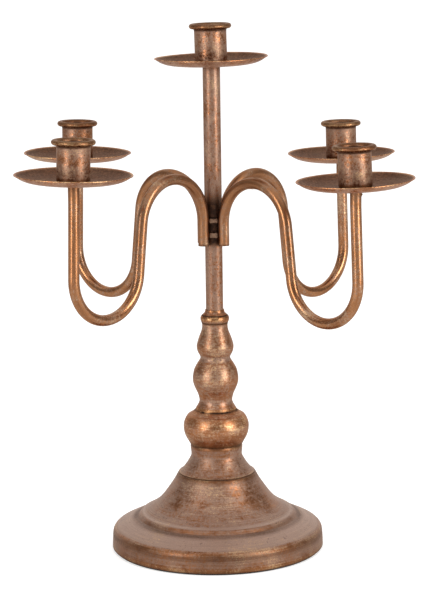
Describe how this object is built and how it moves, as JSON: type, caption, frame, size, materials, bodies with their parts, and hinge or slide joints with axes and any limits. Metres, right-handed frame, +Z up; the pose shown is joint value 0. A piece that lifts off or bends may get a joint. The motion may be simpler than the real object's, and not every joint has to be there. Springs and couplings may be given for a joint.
{
  "type": "candelabra",
  "caption": "Tabletop candelabra in antiqued copper: turned column on a bell foot, tube stem, bent arms with drip pans and candle cups.",
  "frame": {"origin": "middle of the felt pad's underside, on the surface that the foot stands on", "axes": "+Z up along the stem, -Y to the front, +X to the right; the arms stand near 45 degrees between them"},
  "size_m": [0.305, 0.3034, 0.4166],
  "materials": {
    "antique_copper": "antiqued copper, satin, rubbed bright on edges",
    "rubbed_copper": "antiqued copper, rubbed brighter",
    "braze": "dull braze filler",
    "zinc_steel": "zinc plated",
    "felt": "black felt"
  },
  "bodies": {
    "root": {"base_shell": "antique_copper", "base_collar": "antique_copper", "column_ball": "antique_copper", "baluster": "antique_copper", "stem_ferrule": "antique_copper", "felt_pad": "felt", "stem_tube": "antique_copper", "arm_front_right": "antique_copper", "arm_rear_right": "antique_copper", "arm_rear_left": "antique_copper", "arm_front_left": "antique_copper", "drip_pan_top": "antique_copper", "drip_pan_front_right": "antique_copper", "drip_pan_rear_right": "antique_copper", "drip_pan_rear_left": "antique_copper", "drip_pan_front_left": "antique_copper", "candle_cup_top": "rubbed_copper", "candle_cup_front_right": "rubbed_copper", "candle_cup_rear_right": "rubbed_copper", "candle_cup_rear_left": "rubbed_copper", "candle_cup_front_left": "rubbed_copper", "cup_screw_top": "zinc_steel", "cup_screw_front_right": "zinc_steel", "cup_screw_rear_right": "zinc_steel", "cup_screw_rear_left": "zinc_steel", "cup_screw_front_left": "zinc_steel", "tube_plug_top": "zinc_steel", "tube_plug_front_right": "zinc_steel", "tube_plug_rear_right": "zinc_steel", "tube_plug_rear_left": "zinc_steel", "tube_plug_front_left": "zinc_steel", "stem_foot_plug": "zinc_steel", "tie_rod": "zinc_steel", "base_washer": "zinc_steel", "base_nut": "zinc_steel", "braze_lower_front_right": "braze", "braze_lower_rear_right": "braze", "braze_lower_rear_left": "braze", "braze_lower_front_left": "braze", "braze_upper_front_right": "braze", "braze_upper_rear_right": "braze", "braze_upper_rear_left": "braze", "braze_upper_front_left": "braze"}
  },
  "joints": []
}
